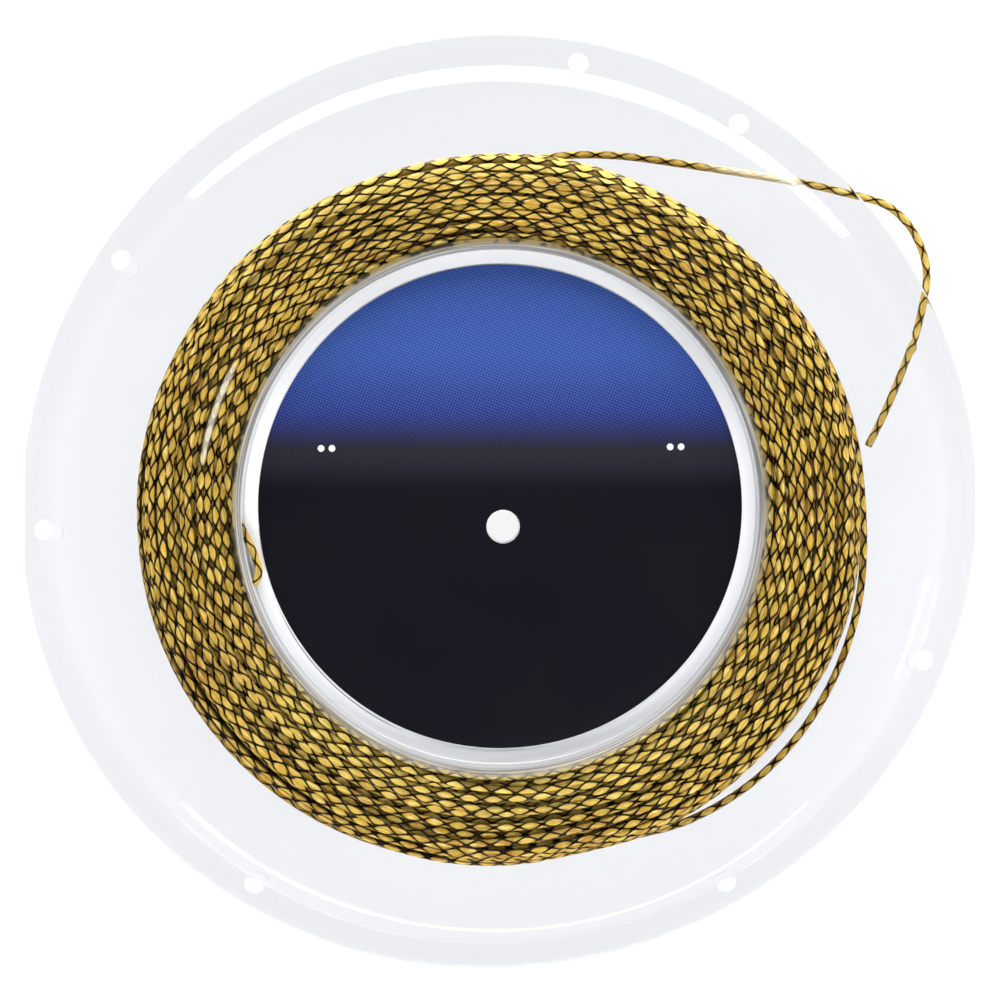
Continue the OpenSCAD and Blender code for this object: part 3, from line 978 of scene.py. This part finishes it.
def uneven(points, amount, rim_r):
    """Moves the rim of a half in or out by direction, and dips it a little, inside the frame's box.

    The rim's stray is a sum of three waves in the direction a, and it fades in from r = 65 to 74 mm.
    The bend lies a little towards the bottom: it moves out by (1 - sin a) / 2 mm.
    """
    r, degrees = around(points)
    a, z = np.radians(degrees), points[:, 2]
    stray = -0.47 - 0.39 * np.cos(a) + 0.71 * np.sin(a) + 0.85 * np.cos(2 * a) + 0.53 * np.sin(2 * a) \
        + 0.22 * np.cos(3 * a) - 0.27 * np.sin(3 * a)
    share = amount * ease((r - 65) / 9)
    bend = amount * 0.5 * (1 - np.sin(a)) * ease((r - 63) / 6) * (1 - ease((r - 71.2) / 3))
    level = np.clip(polar(r + stray * share + bend, degrees), -rim_r, rim_r)
    dip = 0.22 * share * (1 + np.sin(2 * a + 0.7)) / 2
    return np.column_stack([level, np.where(z > SEAT_Z, z - dip, z + dip)])


def half_profile(front, rim_r):
    """Profile of one half as corners (radius, height, rounding), from its disc's centre round to it."""
    lip_r, bend_r = rim_r - LIP_W + 1.0, rim_r - LIP_W - BEND_W
    back = FLANGE_T * math.tan(math.atan2(LIP_SET, lip_r - bend_r) / 2)
    flange = [
        (0, RECESS, 0), (DRUM_IN, RECESS, 0.25), (DRUM_IN, 0, MOUTH_ROUND), (bend_r, 0, 6.5),
        (lip_r, LIP_SET, 0.6), (rim_r, LIP_SET, 0.45), (rim_r, LIP_SET + FLANGE_T, 0.45),
        (lip_r - back, LIP_SET + FLANGE_T, 1.6), (bend_r - back, FLANGE_T, 5.5),
        (DRUM_R, FLANGE_T, 0.4), (DRUM_R, SEAT_Z, 0),
    ]
    if front:
        bead = REEL_W - BEAD_Z
        joint = [(DRUM_IN, SEAT_Z, 0), (DRUM_IN, bead + BEAD_W, 0), (DRUM_IN + BEAD_H, bead, 0),
                 (DRUM_IN, bead - BEAD_W, 0)]
    else:
        joint = [(SPIGOT_OUT, SEAT_Z, 0), (SPIGOT_OUT, BEAD_Z - BEAD_W, 0), (SPIGOT_OUT + BEAD_H, BEAD_Z, 0),
                 (SPIGOT_OUT, BEAD_Z + BEAD_W, 0), (SPIGOT_OUT, SPIGOT_TOP, 0.3),
                 (SPIGOT_IN, SPIGOT_TOP, 0.3), (SPIGOT_IN, SPIGOT_ROOT, 0),
                 (DRUM_IN, SPIGOT_ROOT - DRUM_IN + SPIGOT_IN, 0)]
    disc = [(DRUM_IN, RECESS + DISC_T, 0.4), (0, RECESS + DISC_T, 0)]
    profile = closer(rounded(flange + joint + disc), 2.2)
    profile[:, 0] = np.maximum(profile[:, 0], 0)
    return profile


def rod(centre, axis, radius, length, sides=64):
    """Points and faces of a closed rod round a line: c + r (s cos a + u sin a) at both ends."""
    axis = unit(np.asarray(axis, float))
    s = unit(np.cross(axis, UP if abs(axis[2]) < 0.9 else [0.0, 1.0, 0.0]))
    u = np.cross(axis, s)
    k = np.arange(sides)
    a = TURN * k[:, None] / sides
    ring = np.asarray(centre) + radius * (s * np.cos(a) + u * np.sin(a))
    ends = np.vstack([ring - axis * length / 2, ring + axis * length / 2])
    walls = np.stack([k, (k + 1) % sides, (k + 1) % sides + sides, k + sides], -1).tolist()
    return ends, walls + [k[::-1].tolist(), (k + sides).tolist()]


def cut_holes(piece, rods):
    """Cuts closed rods out of a piece with an exact boolean, and leaves no modifier."""
    points, faces, base = [], [], 0
    for p, f in rods:
        points.append(p)
        faces += [[i + base for i in face] for face in f]
        base += len(p)
    mesh = bpy.data.meshes.new("cutter")
    mesh.from_pydata(np.vstack(points) * MM, [], faces)
    cutter = bpy.data.objects.new("cutter", mesh)
    bpy.context.scene.collection.objects.link(cutter)
    close_up(cutter)
    cut = piece.modifiers.new("holes", "BOOLEAN")
    cut.operation, cut.solver, cut.object = "DIFFERENCE", "EXACT", cutter
    bpy.context.view_layer.update()
    ready = piece.evaluated_get(bpy.context.evaluated_depsgraph_get())
    whole, piece.data = piece.data, bpy.data.meshes.new_from_object(ready)
    piece.modifiers.clear()
    bpy.data.objects.remove(cutter)
    for spare in (whole, mesh):
        bpy.data.meshes.remove(spare)


def reel_half(name, front, node):
    """One half of the reel: its profile carried round, its holes cut and its thin rim left uneven."""
    look = bpy.context.scene.reel_body
    rim_r, middle = in_mm(look.rim_r), REEL_W / 2
    points, faces = revolved(half_profile(front, rim_r), look.segments)
    if front:
        points[:, 2] = REEL_W - points[:, 2]
    piece = new_piece(name, points, faces, "reel_plastic")
    close_up(piece)
    spindle_y = SPINDLE_Y if front else SPINDLE_Y + SPINDLE_SHIFT
    rods = [rod((*polar(RIM_HOLE_AT, a), middle), UP, RIM_HOLE_R, REEL_W + 2, 40) for a in RIM_HOLE_ANGLES]
    rods.append(rod((SPINDLE_X, spindle_y, middle), UP, SPINDLE_R, REEL_W + 2))
    if front:
        rods += [rod((*polar(DRUM_R - DRUM_T / 2, direction), FACE_Z), (*polar(1.0, direction + slant), 0),
                     LACE_HOLE_R, 2 * LACE_REACH, 32) for direction, slant in (LACE_IN, LACE_OUT)]
    cut_holes(piece, rods)
    mesh = piece.data
    moved = uneven(read_rows(mesh.vertices, "co") / MM, look.unevenness, rim_r) * MM
    mesh.vertices.foreach_set("co", moved.ravel())
    smooth_faces(piece, 32)
    middles = read_rows(mesh.polygons, "center") / MM
    far, high = around(middles)[0], np.abs(middles[:, 2] - middle)
    within = middle - RECESS
    hub = (far < DRUM_IN + 0.05) & (high < within + 0.1)
    mouth = (far > DRUM_IN - 0.3) & (far < DRUM_R + 0.2) & (high > within)
    paint_faces(mesh, (plastic_finish(front), milky_finish()), hub | mouth)
    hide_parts(node)


def label_disc():
    """The label: a thin disc with a rounded edge and a spindle hole, printed on its upper face."""
    radius, low = in_mm(bpy.context.scene.reel_label.radius), REEL_W - RECESS
    profile = closer(rounded([(0, low, 0), (radius, low, 0), (radius, low + LABEL_T, 0.06),
                              (0, low + LABEL_T, 0)], 4), 3.0)
    piece = new_piece("hub_label", *revolved(profile, 256), "label")
    close_up(piece)
    cut_holes(piece, [rod((SPINDLE_X, SPINDLE_Y, low), UP, SPINDLE_R + LABEL_GAP, 4.0)])
    bare = read_rows(piece.data.polygons, "normal")[:, 2] < 0.5
    paint_faces(piece.data, (print_finish(), paper_finish()), bare)
    smooth_faces(piece, 30)
    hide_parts("front_label")


def heart():
    """Points and faces of what lies under the shown layers: a ring with a rounded section.

    It is drawn in where the turns over it are.
    """
    corners = [(HEART_IN, HEART_LOW, 0.3), (HEART_OUT, HEART_LOW, 1.5), (HEART_OUT, HEART_HIGH - 0.4, 2.0),
               (HEART_IN, HEART_HIGH, 0.3)]
    profile = closer(rounded(corners, 6), 2.0)
    points, faces = revolved(np.vstack([profile, profile[:1]]), 180)
    r, degrees = around(points)
    inward = drawn_in(degrees, points[:, 2]) + np.minimum(lopsided(degrees), 0)
    return on_circle(r + inward * ease((r - 50) / 5), degrees, points[:, 2]), faces


# ---------------------------------------------------------------- operators


class REEL_OT_camera(bpy.types.Operator):
    """Place the camera over the reel's front"""

    bl_idname = "reel.camera"
    bl_label = "Camera"

    def execute(self, context):
        look = context.scene.reel_stage
        data = bpy.data.cameras.new("camera")
        data.sensor_width = 36.0
        data.lens = data.sensor_width * look.distance / look.width
        data.clip_start, data.clip_end = 0.01, 20.0
        camera = bpy.data.objects.new("camera", data)
        context.scene.collection.objects.link(camera)
        aim = Vector((0.0, AIM_Y * MM, REEL_W * MM))
        ahead = Vector((0.0, math.sin(look.tilt), -math.cos(look.tilt)))
        camera.location = aim - ahead * look.distance
        camera.rotation_euler = (look.tilt, 0.0, 0.0)
        context.scene.camera = camera
        return {"FINISHED"}


class REEL_OT_free_end(bpy.types.Operator):
    """Make the string's free end, over the rear rim to its cut end"""

    bl_idname = "reel.free_end"
    bl_label = "Free end"

    def execute(self, context):
        _, end = turns_path(context.scene.reel_string.turns)
        lead = end + STRING_D * clockwise(END_ANGLE)
        path = np.vstack([end, halved(np.vstack([lead, TAIL_ROUTE]), 2)])
        piece = string_piece("string_free_end", path, sides=14, twist_seed=3)
        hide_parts("string_tail")
        return {"FINISHED"}


class REEL_OT_laced_start(bpy.types.Operator):
    """Make the string's start, laced in and out through the drum's wall"""

    bl_idname = "reel.laced_start"
    bl_label = "Laced start"

    def execute(self, context):
        start, ahead = winding_start()
        meet = start - STRING_D * ahead
        angle, out = np.array(LACE_ROUTE).T
        lace = on_circle(DRUM_R + out, angle, FACE_Z)
        path = np.vstack([halved(np.vstack([lace, meet - STRING_D * ahead]), 2), meet])
        piece = string_piece("string_laced_start", path, sides=14, twist_seed=8)
        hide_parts("string_start")
        return {"FINISHED"}


class REEL_OT_turns(bpy.types.Operator):
    """Wind the turns that show on the front and the outside, and the slack last turn"""

    bl_idname = "reel.turns"
    bl_label = "Shown turns"

    def execute(self, context):
        path, _ = turns_path(context.scene.reel_string.turns)
        piece = string_piece("string_turns", path, sides=12, twist_seed=4, packed=True)
        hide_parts("string_winding")
        return {"FINISHED"}


class REEL_OT_layers(bpy.types.Operator):
    """Wind the layers behind them: under the front, against the drum and at the rear flange"""

    bl_idname = "reel.layers"
    bl_label = "Inner layers"

    def execute(self, context):
        points, faces = heart()
        pairs = np.tile([[0.5, 0.0], [0.5, 1.0], [0.5, 1.0], [0.5, 0.0]], (len(faces), 1))
        core = new_piece("string_heart", points, faces, "string", pairs)
        close_up(core)
        smooth_faces(core, 40)
        core.data.materials.append(string_finish())
        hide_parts("string_core")
        string_piece("string_under_layer", under_path(), sides=8, twist_seed=6, packed=True)
        string_piece("string_inner_layer", inner_path(), sides=8, twist_seed=7, packed=True)
        return {"FINISHED"}


class REEL_OT_halves(bpy.types.Operator):
    """Mould the reel's two halves"""

    bl_idname = "reel.halves"
    bl_label = "Reel halves"

    def execute(self, context):
        reel_half("reel_rear", False, "rear_half")
        reel_half("reel_front", True, "front_half")
        return {"FINISHED"}


class REEL_OT_label(bpy.types.Operator):
    """Lay the printed label in the front recess"""

    bl_idname = "reel.label"
    bl_label = "Label"

    def execute(self, context):
        label_disc()
        return {"FINISHED"}


class REEL_OT_stage(bpy.types.Operator):
    """Lay the floor and hang the lamps"""

    bl_idname = "reel.stage"
    bl_label = "Stage"

    def execute(self, context):
        mesh = bpy.data.meshes.new("floor")
        half, z = 6.0, -0.0003
        corners = [(-half, -half, z), (half, -half, z), (half, half, z), (-half, half, z)]
        mesh.from_pydata(corners, [], [(0, 1, 2, 3)])
        floor = bpy.data.objects.new("floor", mesh)
        context.scene.collection.objects.link(floor)
        mesh.materials.append(floor_finish())
        lamps = (
            ("lamp_top", "ELLIPSE", (0.05, 0.85, 0.0), (1.85, 0.95), 62.0),
            ("lamp_bottom", "RECTANGLE", (0.0, -0.77, 0.64), (1.6, 0.12), 14.0),
            ("lamp_right", "RECTANGLE", (0.88, -0.25, 0.50), (0.22, 0.10), 2.4),
        )
        for name, shape, place, (width, height), power in lamps:
            data = bpy.data.lights.new(name, "AREA")
            data.shape, data.size, data.size_y, data.energy = shape, width, height, power
            lamp = bpy.data.objects.new(name, data)
            lamp.location = place
            lamp.rotation_euler = (-Vector(place)).to_track_quat("-Z", "Y").to_euler()
            lamp.visible_camera = False
            context.scene.collection.objects.link(lamp)
        self.sky(context)
        context.scene.view_settings.view_transform = "Standard"
        return {"FINISHED"}

    @staticmethod
    def sky(context):
        """A pale room: bright round the horizon and darker overhead."""
        world = bpy.data.worlds.new("room")
        context.scene.world = world
        world.use_nodes = True
        tree = world.node_tree
        tree.nodes.clear()
        out = tree.nodes.new("ShaderNodeOutputWorld")
        _, _, height = axes(tree, put(tree, "ShaderNodeTexCoord").outputs["Generated"])
        level = span(tree, height, 0.30, 0.94, 0.62, 0.03, smooth=True)
        shine = put(tree, "ShaderNodeBackground", {"Color": (1.0, 1.0, 1.0), "Strength": level})
        tree.links.new(shine.outputs[0], out.inputs["Surface"])


STEPS = (
    REEL_OT_camera, REEL_OT_free_end, REEL_OT_laced_start, REEL_OT_turns, REEL_OT_layers,
    REEL_OT_halves, REEL_OT_label, REEL_OT_stage,
)


class REEL_PT_panel(bpy.types.Panel):
    """Sizes, colours and steps of the string reel"""

    bl_label = "String Reel"
    bl_idname = "REEL_PT_panel"
    bl_space_type = "VIEW_3D"
    bl_region_type = "UI"
    bl_category = "Reel"

    def draw(self, context):
        for settings in (context.scene.reel_body, context.scene.reel_string, context.scene.reel_label,
                         context.scene.reel_stage):
            box = self.layout.box()
            for name in settings.__annotations__:
                box.prop(settings, name)
        for step in STEPS:
            self.layout.operator(step.bl_idname)


CLASSES = (ReelSettings, StringSettings, LabelSettings, StageSettings, *STEPS, REEL_PT_panel)


def register():
    for cls in CLASSES:
        bpy.utils.register_class(cls)
    bpy.types.Scene.reel_body = PointerProperty(type=ReelSettings)
    bpy.types.Scene.reel_string = PointerProperty(type=StringSettings)
    bpy.types.Scene.reel_label = PointerProperty(type=LabelSettings)
    bpy.types.Scene.reel_stage = PointerProperty(type=StageSettings)


def unregister():
    for name in ("reel_body", "reel_string", "reel_label", "reel_stage"):
        delattr(bpy.types.Scene, name)
    for cls in reversed(CLASSES):
        bpy.utils.unregister_class(cls)


def main():
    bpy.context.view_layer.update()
    register()
    for step in STEPS:
        group, action = step.bl_idname.split(".")
        getattr(getattr(bpy.ops, group), action)()


if __name__ == "__main__":
    main()
